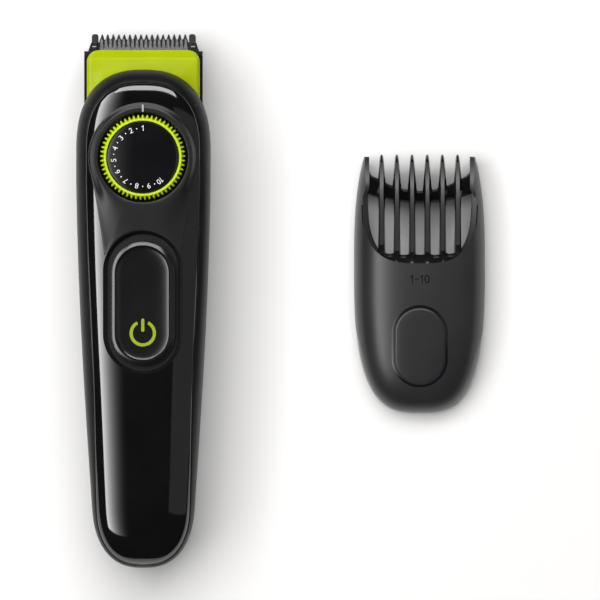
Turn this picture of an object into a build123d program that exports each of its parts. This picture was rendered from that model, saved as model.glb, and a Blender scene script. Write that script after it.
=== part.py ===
from build123d import *
import math
import os

# Beard trimmer lying on its back: +Y towards the blade, +Z out of the dial face, millimetres.
# The origin is the centre of the flat pad on the back that the trimmer rests on.

# ---------------------------------------------------------------- driving dimensions
# Housing
LOW_END = -83.1            # lower end of the housing
LOW_ROUND = -64.0          # where the lower rounding starts
TOP_ROUND = 46.0           # where the round arch above the dial starts
ARCH_TOP = 71.8            # apex of the arch
GRIP_HALF = 16.0           # half width of the lower grip
SHOULDER_HALF = 20.9       # half width at the dial
SHOULDER_Y = 37.0
END_POWER = 2.5            # roundness of both ends in plan
PART_Z = 15.0              # parting plane of the two shells
FRONT_Z = 31.0             # front face
FRONT_DROP = 3.6           # how much lower the front is at the bottom end
BACK_Z = 0.6               # back face of the shell, just above the pad
LOW_LIFT = 3.2             # how much the back rises towards the lower end
NECK_LIFT = 5.8            # how much the back rises towards the neck
FRONT_ROUND = 9.0          # rounding between the front and the sides
BACK_ROUND = 10.0          # rounding between the back and the sides
REACH = 100.0              # beyond every end of the trimmer
WALL = 2.6
PANEL_T = 1.2
PANEL_GAP = 0.25
PANEL_LOW = 19.6
NECK_Y = 62.0              # end of the back shell
HOOD_Y = 60.2              # the front shell is open below HOOD_Z beyond this
HOOD_Z = 20.5

# Dial
DIAL_Y = 44.4
DIAL_TEETH = 57
TOOTH_TIP_R = 13.2
TOOTH_ROOT_R = 12.3
RING_IN_R = 11.25
DIAL_TOP = 32.3
DIAL_LOW = 28.5
BEZEL_IN_R = 13.9
BEZEL_OUT_R = 17.0
BOSS_LOW = 26.6
BOSS_TOP = 27.9
BEZEL_TOP = 31.8
# half width and Y of the surround where it narrows from the dial to the slider
SURROUND = [(16.2, 39.0), (14.6, 34.0), (13.5, 29.0), (12.9, 22.0), (12.6, 14.0)]
HUB_R = 4.5
HUB_GAP = 0.5              # radial clearance of the hub in the shell
RUN_GAP = 0.05             # radial running clearance of the shaft
CAM_R = 15.0
CAM_LOW = 23.4
CAM_TOP = 25.9
SETTING_TURN = 216.0       # ten settings, nine steps of 24 degrees
COMB_TRAVEL = 9.0
GROOVE_START_R = 13.0
FOLLOWER_R = 0.9

# Comb carrier
ARM_IN = 16.5
ARM_OUT = 18.4
ARM_LOW = 11.0
ARM_TOP = 16.5
ARM_END = 77.6
BAR_LOW = 20.6
BAR_TOP = 22.8
BAR_HALF_Y = 4.0
SLIDE_GAP = 0.5

# Power slider
RECESS_W, RECESS_L, RECESS_Y = 24.7, 44.2, -0.6
RECESS_FLOOR_W, RECESS_FLOOR_L = 21.6, 42.4
RECESS_Z = 29.0
SLIDER_W, SLIDER_L, SLIDER_Y = 20.0, 38.7, -0.9
DISH_W, DISH_L = 16.9, 34.9
DISH_FLOOR = 30.9
SLIDER_LOW, SLIDER_TOP = 29.6, 31.8
SWITCH_TRAVEL = 1.7
STEM_HALF_W, STEM_HALF_L = 2.5, 5.0
STEM_GAP = 0.6
SYMBOL_Y = -10.1
SYMBOL_R = 4.1
SYMBOL_STROKE = 1.1

# Motor and drive
AXIS_Z = 11.2
MOTOR_R, MOTOR_FLAT = 10.2, 7.7
MOTOR_Y0, MOTOR_Y1 = 4.0, 31.0
CAN_WALL = 0.8
SHAFT_R = 1.0
ECCENTRICITY = 0.6
DRIVE_PIN_R = 0.8

# Cutting head
COVER_HALF = 17.7
COVER_TOP_Y = 78.0
COVER_REAR_Y = 60.5
COVER_Z = 20.0
COVER_FRONT_Z = 17.8
COVER_WALL = 1.2
BASE_REAR_Y = 62.4
FIXED_Z0, FIXED_Z1 = 6.6, 7.8
FIXED_HALF = 16.2
FIXED_TIP_Y = 83.1
FIXED_PITCH = 1.73
MOVING_Z0, MOVING_Z1 = 7.85, 8.75
MOVING_HALF = 13.8
MOVING_TIP_Y = 81.6
MOVING_PITCH = 1.38

# Cell, board and inlet
CELL_R, CELL_Y0, CELL_Y1, CELL_Z = 7.1, -61.5, -13.0, 11.6
BOARD_LOW, BOARD_TOP = 19.4, 20.6
INLET_FACE = -82.0
SOCKET_FLOOR = -73.0

# Comb attachment, lying beside the trimmer
COMB_X = 86.0
COMB_MID_Y = 12.0
COMB_HALF = 20.5
COMB_LOW_LEN = 47.2
COMB_TOP_LEN = 50.7
COMB_TIP_Y = 45.6
COMB_HEIGHT = 15.0
COMB_WALL = 1.8
COMB_ROUND = 7.0
FIN_PITCH = 4.74
FIN_T = 1.5


# ---------------------------------------------------------------- shape formulas
def clamp(t):
    return max(0.0, min(1.0, t))


def smooth(t):
    t = clamp(t)
    return t * t * (3.0 - 2.0 * t)


def round_off(t, power):
    """Superellipse factor: 1 at t = 0, falling to 0 at t = 1."""
    t = clamp(t)
    return (1.0 - t ** power) ** (1.0 / power)


def taper(y):
    """Half width of the housing without its end roundings."""
    u = min(1.0, (y - LOW_ROUND) / (SHOULDER_Y - LOW_ROUND))
    return GRIP_HALF + (SHOULDER_HALF - GRIP_HALF) * (0.3 * u + 0.7 * math.sin(u * math.pi / 2.0))


def low_t(y, inset):
    return (LOW_ROUND - y) / (LOW_ROUND - LOW_END - inset)


def top_t(y, inset):
    return (y - TOP_ROUND) / (ARCH_TOP - TOP_ROUND - inset)


def half_width(y, inset=0.0):
    ends = round_off(low_t(y, inset), END_POWER) * round_off(top_t(y, inset), END_POWER)
    return (taper(y) - inset) * ends


def outline_face(half, low, high, steps=12):
    """Plan outline, symmetric about X = 0, whose half width at y is half(y)."""
    middle, reach = (low + high) / 2.0, (high - low) / 2.0
    ys = [middle - reach * math.cos(math.pi * i / steps) for i in range(1, steps)]
    right = [(half(y), y) for y in ys]
    left = [(-x, y) for x, y in reversed(right)]
    return make_face(Spline(*([(0.0, low)] + right + [(0.0, high)] + left), periodic=True))


def side_outline(inset):
    """Side outline (y, z): flat front that falls away at the grip, back raised at both ends."""
    front, back = FRONT_Z - inset, BACK_Z + inset
    edges = Line((REACH, front), (-20.0, front))
    edges += TangentArc((-20.0, front), (-90.0, front - FRONT_DROP), tangent=(-1, 0))
    edges += Line((-90.0, front - FRONT_DROP), (-90.0, back + LOW_LIFT))
    edges += TangentArc((-40.0, back), (-90.0, back + LOW_LIFT), tangent=(-1, 0))
    edges += Line((-40.0, back), (36.0, back))
    edges += TangentArc((36.0, back), (75.0, back + NECK_LIFT), tangent=(1, 0))
    edges += Line((75.0, back + NECK_LIFT), (REACH, back + NECK_LIFT))
    edges += Line((REACH, back + NECK_LIFT), (REACH, front))
    return make_face(edges)


def housing_block(inset):
    """The whole housing as one smooth solid, drawn inwards by inset."""
    plan = outline_face(lambda y: half_width(y, inset), LOW_END + inset, ARCH_TOP - inset)
    block = extrude(plan, amount=60.0) & (Pos(-40, 0, 0) * extrude(Plane.YZ * side_outline(inset), amount=80.0))
    front_edges = [e for e in block.edges() if e.center().Z > PART_Z + 7.0]
    block = fillet(front_edges, FRONT_ROUND - inset)
    back_edges = [e for e in block.edges() if e.center().Z < PART_Z - 7.0]
    return fillet(back_edges, BACK_ROUND - inset)


def box(x0, x1, y0, y1, z0, z1):
    return Pos((x0 + x1) / 2, (y0 + y1) / 2, (z0 + z1) / 2) * Box(x1 - x0, y1 - y0, z1 - z0)


def disc(r, x, y, z0, z1):
    """Round post along Z."""
    return Pos(x, y, (z0 + z1) / 2) * Cylinder(r, z1 - z0)


def rod(r, x, z, y0, y1):
    """Round bar along Y."""
    return Pos(x, (y0 + y1) / 2, z) * Rot(90, 0, 0) * Cylinder(r, y1 - y0)


def pill(width, length, y, z0, z1):
    return Pos(0, y, z0) * extrude(SlotOverall(length, width, rotation=90), amount=z1 - z0)


def oval_bar(width, height, y0, y1, z):
    """Oval bar along Y."""
    face = Plane((0, y1, z), x_dir=(1, 0, 0), z_dir=(0, -1, 0)) * SlotOverall(width, height)
    return extrude(face, amount=y1 - y0)


def side_profile(points, x0, x1):
    """Block along X from a closed outline given as (y, z)."""
    outline = Polyline(*points, close=True)
    return Pos(x0, 0, 0) * extrude(Plane.YZ * make_face(outline), amount=x1 - x0)


# ---------------------------------------------------------------- housing
OUTER = housing_block(0.0)
UNDER_PANEL = housing_block(PANEL_T)
INNER = housing_block(WALL)
SCREW_PLACES = [(13.3, 20.0), (-13.3, 20.0), (11.6, -52.0), (-11.6, -52.0)]


def panel_half(y):
    """Half width of the front panel: a narrow margin at the sides, wider at the arch."""
    margin = 1.3 + 1.9 * smooth((y + 78.0) / 60.0)
    low = round_off((LOW_ROUND - y) / (LOW_ROUND - LOW_END - 1.0), END_POWER)
    top = round_off((y - TOP_ROUND) / 21.4, END_POWER)
    return (taper(y) - margin) * low * top


def panel_outline(grow, z0, z1):
    plan = outline_face(lambda y: panel_half(y) + grow, LOW_END + 1.0 - grow, TOP_ROUND + 21.4 + grow)
    return Pos(0, 0, z0) * extrude(plan, amount=z1 - z0)


def screw_bosses(z0, z1, radius):
    return [disc(radius, x, y, z0, z1) for x, y in SCREW_PLACES]


def arm_channels():
    """Straight ways for the comb carrier's arms and for the webs that join them to its bar."""
    cuts = []
    for side in (1, -1):
        lo, hi = ARM_IN - SLIDE_GAP, ARM_OUT + SLIDE_GAP
        x0, x1 = min(side * lo, side * hi), max(side * lo, side * hi)
        cuts.append(box(x0, x1, 26.0, 90.0, ARM_LOW - SLIDE_GAP, ARM_TOP + SLIDE_GAP))
        cuts.append(box(x0, x1, 26.0, 46.0, ARM_LOW - SLIDE_GAP, BAR_TOP + SLIDE_GAP))
    return cuts


def stem_slot():
    """Slot in the recess floor that the slider's stem moves along."""
    half_w, half_l = STEM_HALF_W + STEM_GAP, STEM_HALF_L + STEM_GAP
    return box(-half_w, half_w, SLIDER_Y - half_l, SLIDER_Y + half_l + SWITCH_TRAVEL, 20, 60)


def inlet_hole():
    return oval_bar(10.0, 7.4, LOW_END - 5.0, SOCKET_FLOOR + 3.0, PART_Z)


def seal_block():
    """Gasket in the joint between the shells, open towards the neck."""
    outer = outline_face(lambda y: half_width(y, 0.9), LOW_END + 0.9, ARCH_TOP - 0.9)
    inner = outline_face(lambda y: half_width(y, 1.9), LOW_END + 1.9, ARCH_TOP - 1.9)
    ring = Pos(0, 0, PART_Z - 0.25) * extrude(outer - inner, amount=0.5)
    return (ring & box(-30, 30, -REACH, 24.0, 0, 30)) - inlet_hole()


def front_shell():
    shell = (OUTER & box(-30, 30, -REACH, REACH, PART_Z, 60)) - INNER
    boss = disc(BEZEL_OUT_R + 0.6, 0, DIAL_Y, BOSS_LOW, BOSS_TOP) & UNDER_PANEL
    shell = shell + boss
    for post in screw_bosses(PART_Z, 26.5, 2.4):
        shell = shell + (post & UNDER_PANEL)
    shell = shell - (panel_outline(PANEL_GAP, PANEL_LOW, 60) - UNDER_PANEL)
    shell = shell - disc(BEZEL_OUT_R + 0.1, 0, DIAL_Y, BOSS_TOP, 60)
    shell = shell - disc(HUB_R + HUB_GAP, 0, DIAL_Y, BOSS_LOW - 1, 60)
    shell = shell - recess_bevel()
    shell = shell - stem_slot()
    shell = shell - box(-30, 30, HOOD_Y, REACH, 0, HOOD_Z)
    for post in screw_bosses(PART_Z - 1, 22.0, 1.1):
        shell = shell - post
    for cut in arm_channels():
        shell = shell - cut
    return shell - inlet_hole() - seal_block()


def back_shell():
    shell = (OUTER & box(-30, 30, -REACH, NECK_Y, -5, PART_Z)) - INNER
    for post in screw_bosses(2.0, PART_Z, 2.6):
        shell = shell + (post & OUTER)
    for x, y in SCREW_PLACES:
        shell = shell - disc(1.1, x, y, -5, PART_Z + 1) - disc(2.2, x, y, -5, 4.4)
    for cut in arm_channels():
        shell = shell - cut
    shell = shell - pill(18.4, 76.4, 0, -5, 1.4)
    return shell - inlet_hole() - seal_block()


def back_grip_pad():
    """Soft pad in the back whose flat face the trimmer rests on."""
    pad = pill(18.0, 76.0, 0, 0, 1.4)
    for i in range(-5, 6):
        pad = pad - box(-5.0, 5.0, i * 4.6 - 0.5, i * 4.6 + 0.5, -1, 0.35)
    return pad


def recess_bevel():
    """Space cut for the slider: a pill with sloping sides and an open top."""
    upper = Pos(0, RECESS_Y, FRONT_Z) * SlotOverall(RECESS_L, RECESS_W, rotation=90)
    lower = Pos(0, RECESS_Y, RECESS_Z) * SlotOverall(RECESS_FLOOR_L, RECESS_FLOOR_W, rotation=90)
    return loft([lower, upper], ruled=True) + pill(RECESS_W, RECESS_L, RECESS_Y, FRONT_Z, 60)


def surround_block(grow):
    """Tapering column under the dial surround, from the dial down to the slider."""
    right = [(x + grow, y) for x, y in SURROUND]
    left = [(-x, y) for x, y in reversed(right)]
    return Pos(0, 0, PANEL_LOW) * extrude(make_face(Polyline(*right, *left, close=True)), amount=40.0)


def front_panel():
    panel = (OUTER & panel_outline(0.0, PANEL_LOW, 60)) - UNDER_PANEL
    return panel - disc(BEZEL_OUT_R + 0.1, 0, DIAL_Y, 20, 60) - surround_block(0.1) - recess_bevel()


def dial_bezel():
    """Matt surround: a raised ring round the dial that runs down to the slider as a flat plate."""
    ring = disc(BEZEL_OUT_R, 0, DIAL_Y, BOSS_TOP, BEZEL_TOP) - disc(BEZEL_IN_R, 0, DIAL_Y, 20, 60)
    rims = ring.edges().filter_by(GeomType.CIRCLE).group_by(Axis.Z)[-1]
    plate = (OUTER & surround_block(0.0)) - UNDER_PANEL - disc(BEZEL_OUT_R - 1.0, 0, DIAL_Y, 20, 60)
    return fillet(rims, 0.8) + (plate - recess_bevel())


def housing_seal():
    return seal_block()


def housing_screws():
    screws = []
    for x, y in SCREW_PLACES:
        head = disc(1.95, x, y, 2.4, 4.4) - disc(0.8, x, y, 2.0, 3.4)
        screws.append(head + disc(1.1, x, y, 4.4, 21.0))
    return screws


# ---------------------------------------------------------------- dial
def toothed_ring_face():
    """Outline of the dial's fine teeth, one rounded tooth per pitch."""
    points = []
    for i in range(DIAL_TEETH):
        step = 2.0 * math.pi / DIAL_TEETH
        for share, r in ((-0.25, TOOTH_ROOT_R), (-0.12, TOOTH_TIP_R), (0.12, TOOTH_TIP_R), (0.25, TOOTH_ROOT_R)):
            angle = (i + share) * step
            points.append((r * math.cos(angle), r * math.sin(angle)))
    return make_face(Polyline(*points, close=True)) - Circle(RING_IN_R)


def dial_ring():
    return Pos(0, DIAL_Y, DIAL_LOW) * extrude(toothed_ring_face(), amount=DIAL_TOP - 0.5 - DIAL_LOW)


def dial_cap():
    """Number disc with the hub that passes through the housing."""
    disc_top = disc(RING_IN_R, 0, DIAL_Y, DIAL_LOW, DIAL_TOP)
    rim = disc_top.edges().filter_by(GeomType.CIRCLE).group_by(Axis.Z)[-1]
    hub = disc(HUB_R, 0, DIAL_Y, CAM_TOP, DIAL_LOW)
    spigot = disc(2.0, 0, DIAL_Y, CAM_LOW + 0.8, CAM_TOP)
    return fillet(rim, 0.5) + hub + spigot - disc(0.8, 0, DIAL_Y, 20, 30)


def groove_radius(turn_deg):
    return GROOVE_START_R - COMB_TRAVEL * turn_deg / SETTING_TURN


def groove_face():
    """Archimedean groove: one setting turn moves the follower by the comb travel."""
    rise = COMB_TRAVEL / math.radians(SETTING_TURN)
    inner, outer = [], []
    for i in range(33):
        turn = -8.0 + (SETTING_TURN + 30.0) * i / 32.0
        r = groove_radius(turn)
        half = (FOLLOWER_R + 0.12) * math.hypot(1.0, rise / r)
        angle = math.radians(270.0 + turn)
        inner.append(((r - half) * math.cos(angle), (r - half) * math.sin(angle)))
        outer.append(((r + half) * math.cos(angle), (r + half) * math.sin(angle)))
    ends = Line(outer[-1], inner[-1]) + Line(inner[0], outer[0])
    return make_face(Spline(*outer) + Spline(*inner) + ends)


def dial_cam():
    cam = disc(CAM_R, 0, DIAL_Y, CAM_LOW, CAM_TOP)
    for i in range(24):
        angle = math.radians(i * 15.0)
        cam = cam - disc(0.7, (CAM_R + 0.3) * math.cos(angle), DIAL_Y + (CAM_R + 0.3) * math.sin(angle), 20, 30)
    groove = Pos(0, DIAL_Y, CAM_LOW - 1) * extrude(groove_face(), amount=2.7)
    return cam - groove - disc(2.0, 0, DIAL_Y, 20, 30) - disc(2.3, 0, DIAL_Y, 20, CAM_LOW + 0.8)


def dial_screw():
    return disc(2.2, 0, DIAL_Y, CAM_LOW, CAM_LOW + 0.8) + disc(0.8, 0, DIAL_Y, CAM_LOW + 0.8, 29.0)


def dial_detent_spring():
    """Leaf spring beside the cam disc whose nose stands just clear of its notches."""
    leaf = box(-8.0, 8.0, DIAL_Y + CAM_R + 1.6, DIAL_Y + CAM_R + 2.0, CAM_LOW + 0.2, CAM_TOP - 0.2)
    nose = disc(0.9, 0, DIAL_Y + CAM_R + 1.2, CAM_LOW + 0.2, CAM_TOP - 0.2)
    feet = box(-8.0, -6.4, DIAL_Y + CAM_R + 1.6, DIAL_Y + CAM_R + 2.8, CAM_LOW + 0.2, BOSS_LOW + 1.0)
    feet = feet + box(6.4, 8.0, DIAL_Y + CAM_R + 1.6, DIAL_Y + CAM_R + 2.8, CAM_LOW + 0.2, BOSS_LOW + 1.0)
    return leaf + nose + feet


# ---------------------------------------------------------------- comb carrier
def comb_carrier():
    """U-shaped slide: two arms beside the head, joined by a bar under the dial cam."""
    pin_y = DIAL_Y - GROOVE_START_R
    y0, y1 = pin_y - BAR_HALF_Y, pin_y + BAR_HALF_Y
    body = box(-ARM_OUT, ARM_OUT, y0, y1, BAR_LOW, BAR_TOP)
    for side in (1, -1):
        x0, x1 = min(side * ARM_IN, side * ARM_OUT), max(side * ARM_IN, side * ARM_OUT)
        body = body + box(x0, x1, y0, y1, ARM_LOW, BAR_TOP)
        arm = box(x0, x1, y0, ARM_END, ARM_LOW, ARM_TOP)
        tip = arm.edges().filter_by(Axis.X).group_by(Axis.Y)[-1]
        body = body + fillet(tip, 1.2)
    return body - disc(FOLLOWER_R, 0, pin_y, BAR_LOW + 0.6, 30)


def follower_pin():
    return disc(FOLLOWER_R, 0, DIAL_Y - GROOVE_START_R, BAR_LOW + 0.6, CAM_LOW + 1.4)


# ---------------------------------------------------------------- power slider
def power_symbol_faces(grow):
    ring = Circle(SYMBOL_R + grow) - Circle(SYMBOL_R - SYMBOL_STROKE - grow)
    gap = Pos(0, SYMBOL_R) * Rectangle(2.0 * SYMBOL_R * math.sin(math.radians(27.0)) - 2 * grow, 2 * SYMBOL_R)
    bar = Pos(0, 2.5) * Rectangle(SYMBOL_STROKE + 2 * grow, 4.0 + 2 * grow)
    return ring - gap, bar


def power_symbol():
    ring, bar = power_symbol_faces(0.0)
    base = Pos(0, SYMBOL_Y, DISH_FLOOR - 0.3)
    return [base * extrude(ring, amount=0.35), base * extrude(bar, amount=0.35)]


def power_slider():
    body = pill(SLIDER_W, SLIDER_L, SLIDER_Y, SLIDER_LOW, SLIDER_TOP)
    rim = body.edges().group_by(Axis.Z)[-1]
    body = fillet(rim, 0.7)
    lower = Pos(0, SLIDER_Y, DISH_FLOOR) * SlotOverall(DISH_L - 3.0, DISH_W - 3.0, rotation=90)
    upper = Pos(0, SLIDER_Y, SLIDER_TOP + 0.05) * SlotOverall(DISH_L, DISH_W, rotation=90)
    body = body - loft([lower, upper], ruled=True)
    body = body + box(-STEM_HALF_W, STEM_HALF_W, SLIDER_Y - STEM_HALF_L, SLIDER_Y + STEM_HALF_L, 27.6, SLIDER_LOW)
    for mark in power_symbol():
        body = body - mark
    return body


def slider_actuator():
    """Plate clipped to the slider's stem inside the shell, with a finger for the switch knob."""
    plate = box(-6.0, 6.0, SLIDER_Y - 9.0, SLIDER_Y + 9.0, 26.4, 27.6)
    finger = box(-2.2, 2.2, SLIDER_Y - 3.0, SLIDER_Y + 3.0, 23.6, 26.4)
    return plate + finger - box(-5, 5, SLIDER_Y - 1.2, SLIDER_Y + 1.2, 23.0, 25.0)


def switch_knob():
    return box(-1.5, 1.5, SLIDER_Y - 1.2, SLIDER_Y + 1.2, 22.6, 25.0)


# ---------------------------------------------------------------- motor and drive
def flattened_bar(r, flat, y0, y1):
    return rod(r, 0, AXIS_Z, y0, y1) & box(-r, r, y0, y1, AXIS_Z - flat, AXIS_Z + flat)


def motor_can():
    can = flattened_bar(MOTOR_R, MOTOR_FLAT, MOTOR_Y0 + 1.2, MOTOR_Y1)
    cavity = flattened_bar(MOTOR_R - CAN_WALL, MOTOR_FLAT - CAN_WALL, MOTOR_Y0, MOTOR_Y1 - CAN_WALL)
    nose = rod(3.0, 0, AXIS_Z, MOTOR_Y1, MOTOR_Y1 + 1.2)
    return can - cavity + nose - rod(1.9, 0, AXIS_Z, MOTOR_Y0, MOTOR_Y1 + 2)


def motor_end_cap():
    cap = flattened_bar(MOTOR_R, MOTOR_FLAT, MOTOR_Y0, MOTOR_Y0 + 1.2)
    return cap - rod(SHAFT_R + RUN_GAP, 0, AXIS_Z, MOTOR_Y0 - 1, MOTOR_Y0 + 2)


def motor_magnets():
    tube = rod(9.3, 0, AXIS_Z, 8.0, 28.0) - rod(7.3, 0, AXIS_Z, 7.0, 29.0)
    return [tube & box(3.5, 12.0, 8.0, 28.0, 5.4, 16.6), tube & box(-12.0, -3.5, 8.0, 28.0, 5.4, 16.6)]


def motor_bush():
    return rod(1.9, 0, AXIS_Z, MOTOR_Y1 - CAN_WALL, MOTOR_Y1 + 1.6) - rod(SHAFT_R + 0.03, 0, AXIS_Z, 20, 40)


def motor_armature():
    """Slotted stack of the rotor."""
    stack = rod(6.3, 0, AXIS_Z, 9.0, 27.0) - rod(SHAFT_R, 0, AXIS_Z, 8.0, 28.0)
    for i in range(3):
        angle = math.radians(90.0 + 120.0 * i)
        slot = box(-0.8, 0.8, 8.0, 28.0, 3.2, 7.0)
        stack = stack - Pos(0, 0, AXIS_Z) * Rot(0, math.degrees(angle), 0) * slot
    return stack


def motor_shaft():
    return rod(SHAFT_R, 0, AXIS_Z, MOTOR_Y0 - 0.8, 56.5)


def eccentric():
    hub = rod(2.6, 0, AXIS_Z, 53.4, 56.8) - rod(SHAFT_R, 0, AXIS_Z, 50.0, 56.5)
    return hub + rod(DRIVE_PIN_R, ECCENTRICITY, AXIS_Z, 56.8, 61.2)


def motor_bracket():
    plate = flattened_bar(9.6, 7.0, MOTOR_Y1, MOTOR_Y1 + 1.6) - rod(3.0, 0, AXIS_Z, 20, 40)
    ears = box(-12.6, 12.6, MOTOR_Y1 + 1.6, MOTOR_Y1 + 2.8, 7.0, 15.0) - rod(3.2, 0, AXIS_Z, 20, 40)
    return plate + ears


def neck_plate():
    """Wall that closes the housing behind the head; the drive shaft runs through it."""
    plate = box(-15.8, 15.8, 49.6, 51.8, 5.4, 19.2)
    corners = plate.edges().filter_by(Axis.Y)
    return fillet(corners, 2.5) - rod(2.6, 0, AXIS_Z, 48, 54)


def shaft_seal():
    return rod(2.6, 0, AXIS_Z, 49.6, 51.8) - rod(SHAFT_R + RUN_GAP, 0, AXIS_Z, 48, 54)


def inner_frame():
    """Bulkheads at both ends of the cell and behind the motor, joined by two rails."""
    frame = None
    for y0, y1 in ((-65.0, -62.6), (-11.6, -9.6), (0.6, 2.6)):
        wall = Pos(0, (y0 + y1) / 2, AXIS_Z) * Box(20.0, y1 - y0, 13.0)
        wall = fillet(wall.edges().filter_by(Axis.Y), 5.0)
        frame = wall if frame is None else frame + wall
    for side in (1, -1):
        frame = frame + box(side * 8.1 - 0.7, side * 8.1 + 0.7, -65.0, 2.6, AXIS_Z - 1.2, AXIS_Z + 1.2)
    return frame


# ---------------------------------------------------------------- cell, board and inlet
def battery_cell():
    body = rod(CELL_R, 0, CELL_Z, CELL_Y0, CELL_Y1 - 1.0)
    rims = body.edges().filter_by(GeomType.CIRCLE)
    return fillet(rims, 0.8) + rod(2.6, 0, CELL_Z, CELL_Y1 - 1.0, CELL_Y1)


def contact_strip(y0, y1, y_tab):
    """Sprung strip against one end of the cell, with a tab up to the circuit board."""
    plate = box(-3.0, 3.0, y0, y1, 7.0, 18.0)
    tab = box(-1.0, 1.0, min(y0, y_tab), max(y1, y_tab), 18.0, BOARD_LOW)
    return plate + tab


def battery_contact_front():
    return contact_strip(-12.6, -12.2, -12.2)


def battery_contact_rear():
    return contact_strip(-62.2, -61.9, -61.9)


def circuit_board():
    board = box(-11.5, 11.5, -62.2, 8.0, BOARD_LOW, BOARD_TOP)
    for x, y in SCREW_PLACES:
        board = board - disc(2.9, x, y, 10, 30)
    return board


def board_components():
    chips = [box(-4.5, 1.5, -38.0, -30.0, BOARD_TOP, 22.2)]
    for i in range(4):
        chips.append(box(4.0, 6.2, -44.0 + 5.0 * i, -41.6 + 5.0 * i, BOARD_TOP, 21.6))
    chips.append(disc(2.6, -6.0, -22.0, BOARD_TOP, 25.0))
    return chips


def switch_body():
    return box(-4.2, 4.2, SLIDER_Y - 5.0, SLIDER_Y + 6.4, BOARD_TOP, 22.5)


def inlet_housing():
    body = oval_bar(10.0, 7.4, INLET_FACE, SOCKET_FLOOR + 3.0, PART_Z)
    socket = oval_bar(8.0, 5.6, INLET_FACE - 1, SOCKET_FLOOR, PART_Z)
    body = body - socket
    for pin in inlet_pins():
        body = body - pin
    return body


def inlet_pins():
    return [rod(0.75, x, PART_Z, -77.4, SOCKET_FLOOR + 5.0) for x in (1.9, -1.9)]


# ---------------------------------------------------------------- cutting head
def cover_profile(wall):
    """Side outline of the head cover, drawn inwards by wall."""
    return [
        (COVER_REAR_Y - 5 * wall, COVER_Z - wall),
        (70.0 - 0.2 * wall, COVER_Z - wall),
        (75.5 - 0.2 * wall, 18.9 - wall),
        (COVER_TOP_Y - wall, COVER_FRONT_Z - wall),
        (COVER_TOP_Y - wall, 10.8 - wall),
        (COVER_REAR_Y - 5 * wall, 10.8 - wall),
    ]


def cover_plan():
    """Plan of the cover: square behind, round at the two blade corners."""
    block = box(-COVER_HALF, COVER_HALF, COVER_REAR_Y, COVER_TOP_Y, 0, 40)
    corners = block.edges().filter_by(Axis.Z).group_by(Axis.Y)[-1]
    return fillet(corners, 3.7)


def head_cover():
    cover = side_profile(cover_profile(0.0), -COVER_HALF, COVER_HALF) & cover_plan()
    cover = cover - side_profile(cover_profile(COVER_WALL), -ARM_IN, ARM_IN)
    for side in (1, -1):
        x0, x1 = sorted((side * 15.9, side * 25.0))
        cover = cover - box(x0, x1, 50, ARM_END + 9.0, 0, ARM_TOP + 0.4)
    return cover


def head_base():
    """Carrier of both blades, with a tunnel for the drive fork and a spigot into the housing."""
    profile = [
        (BASE_REAR_Y, FIXED_Z0), (BASE_REAR_Y, 18.7), (69.4, 18.7), (74.6, 16.2),
        (76.6, 12.6), (76.6, 10.6), (80.6, 9.6), (80.6, FIXED_Z1), (65.9, FIXED_Z1), (65.9, FIXED_Z0),
    ]
    base = side_profile(profile, -FIXED_HALF, FIXED_HALF)
    base = base - box(-14.6, 14.6, 72.2, 90, 0, 40)
    base = base + box(-12.0, 12.0, 72.2, 76.4, 11.2, 12.4)
    base = base + box(-11.0, 11.0, 53.0, BASE_REAR_Y, 6.8, 15.4)
    base = base - box(-4.8, 4.8, 50, 73.0, 8.2, 14.4)
    base = base - rod(3.2, 0, AXIS_Z, 50, 58.0)
    for x in (11.0, -11.0):
        base = base - disc(0.9, x, 69.0, 5, 13.0)
    return base


def tooth_row(pitch, half, root_y, tip_y, root_share, tip_share, z0, z1):
    """Row of tapered cutter teeth between -half and half."""
    count = int(round(2.0 * half / pitch))
    step = 2.0 * half / count
    teeth = []
    for i in range(count):
        x = -half + (i + 0.5) * step
        w0, w1 = root_share * step / 2.0, tip_share * step / 2.0
        points = [(x - w0, root_y), (x - w1, tip_y - 0.3), (x, tip_y), (x + w1, tip_y - 0.3), (x + w0, root_y)]
        teeth.append(Pos(0, 0, z0) * extrude(make_face(Polyline(*points, close=True)), amount=z1 - z0))
    return teeth


def fixed_blade():
    plate = box(-FIXED_HALF, FIXED_HALF, 66.0, 80.6, FIXED_Z0, FIXED_Z1)
    plate = plate + box(-MOVING_HALF, MOVING_HALF, 80.6, 81.4, FIXED_Z0, FIXED_Z1)
    for tooth in tooth_row(FIXED_PITCH, MOVING_HALF, 81.3, FIXED_TIP_Y, 0.8, 0.25, FIXED_Z0, FIXED_Z1):
        plate = plate + tooth
    for side in (1, -1):
        x0, x1 = sorted((side * 14.1, side * FIXED_HALF))
        end = box(x0, x1, 80.6, FIXED_TIP_Y, FIXED_Z0, FIXED_Z1)
        tips = end.edges().filter_by(Axis.Z).group_by(Axis.Y)[-1]
        plate = plate + fillet(tips, 0.8)
        plate = plate - disc(0.9, side * 11.0, 69.0, 5, 10)
    return plate


def moving_blade():
    plate = box(-MOVING_HALF, MOVING_HALF, 72.6, 78.9, MOVING_Z0, MOVING_Z1)
    for tooth in tooth_row(MOVING_PITCH, MOVING_HALF, 78.8, MOVING_TIP_Y, 0.72, 0.4, MOVING_Z0, MOVING_Z1):
        plate = plate + tooth
    return plate


def drive_fork():
    """Follower on the moving blade; the drive pin runs in its slot with room to spare."""
    foot = box(-3.2, 3.2, 73.4, 76.2, MOVING_Z1, 10.2)
    neck = box(-3.2, 3.2, 62.6, 73.4, 9.2, 10.2) + box(-3.2, 3.2, 62.6, 65.4, 9.2, 13.6)
    tines = box(-3.4, 3.4, 57.2, 62.6, 9.2, 13.6) - box(-2.2, 2.2, 57.0, 62.6, 5, 20)
    return foot + neck + tines


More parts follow.
